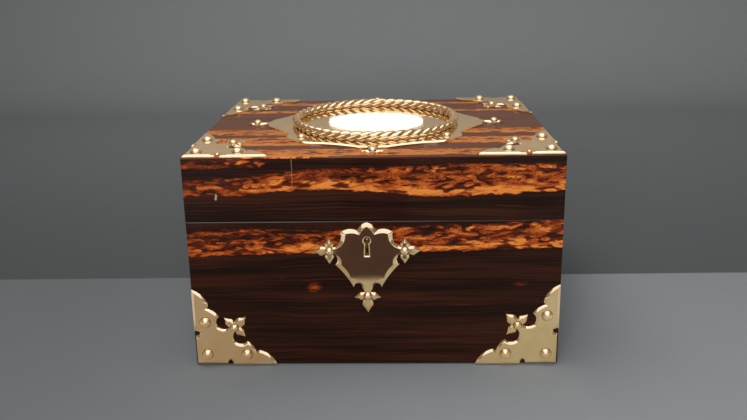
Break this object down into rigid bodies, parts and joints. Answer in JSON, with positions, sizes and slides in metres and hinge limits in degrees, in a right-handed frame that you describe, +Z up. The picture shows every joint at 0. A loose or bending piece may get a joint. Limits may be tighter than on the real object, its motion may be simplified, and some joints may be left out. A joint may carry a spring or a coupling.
{
  "type": "wooden lock box",
  "caption": "Rectangular veneered wooden box with a hinged flat lid, pierced brass corner plates, a keyhole shield, a box lock and a rope-twist ring on the lid.",
  "frame": {"origin": "centre of the baize under the base", "axes": "+X to the right seen from the front, +Y to the back with the hinges, +Z up through the lid"},
  "size_m": [0.3, 0.2383, 0.1898],
  "materials": {
    "veneer": "high gloss polish",
    "carcass": "plain",
    "brass": "polished",
    "steel": "bright",
    "velvet": "velvet pile",
    "baize": "felted"
  },
  "bodies": {
    "base": {"base_back_board": "carcass", "base_baize": "baize", "base_bottom_board": "carcass", "base_corner_plate_left": "brass", "base_corner_plate_right": "brass", "base_corner_studs": "brass", "base_cusp_studs": "brass", "base_front_board": "carcass", "base_left_board": "carcass", "base_right_board": "carcass", "bolt_spring": "steel", "escutcheon": "brass", "escutcheon_studs": "brass", "hinge_base_leaf_left": "brass", "hinge_base_leaf_right": "brass", "hinge_base_screws": "brass", "hinge_pin_left": "steel", "hinge_pin_right": "steel", "key_pin": "steel", "lining_back": "velvet", "lining_floor": "velvet", "lining_front": "velvet", "lining_left": "velvet", "lining_right": "velvet", "lock_cap": "brass", "lock_case": "brass", "lock_screws": "brass", "veneer_base_back": "veneer", "veneer_base_front": "veneer", "veneer_base_left": "veneer", "veneer_base_right": "veneer"},
    "lid": {"centre_plate_studs": "brass", "hinge_lid_leaf_left": "brass", "hinge_lid_leaf_right": "brass", "hinge_lid_screws": "brass", "lid_back_board": "carcass", "lid_centre_plate": "brass", "lid_corner_plate_back_left": "brass", "lid_corner_plate_back_right": "brass", "lid_corner_plate_front_left": "brass", "lid_corner_plate_front_right": "brass", "lid_corner_studs": "brass", "lid_cusp_studs": "brass", "lid_front_board": "carcass", "lid_left_board": "carcass", "lid_right_board": "carcass", "lid_top_board": "carcass", "lining_lid": "velvet", "link_plate": "brass", "link_plate_screws": "brass", "rope_ring": "brass", "veneer_lid_back": "veneer", "veneer_lid_front": "veneer", "veneer_lid_left": "veneer", "veneer_lid_right": "veneer", "veneer_lid_top": "veneer"},
    "bolt": {"lock_bolt": "steel"}
  },
  "joints": [
    {"name": "lid_hinge", "type": "hinge", "parent": "base", "child": "lid", "pos_m": [0, 0.114, 0.12665], "axis": [-1, 0, 0], "range_deg": [0, 96]},
    {"name": "bolt_slide", "type": "slide", "parent": "base", "child": "bolt", "axis": [1, 0, 0], "range_m": [0, 0.006]}
  ]
}
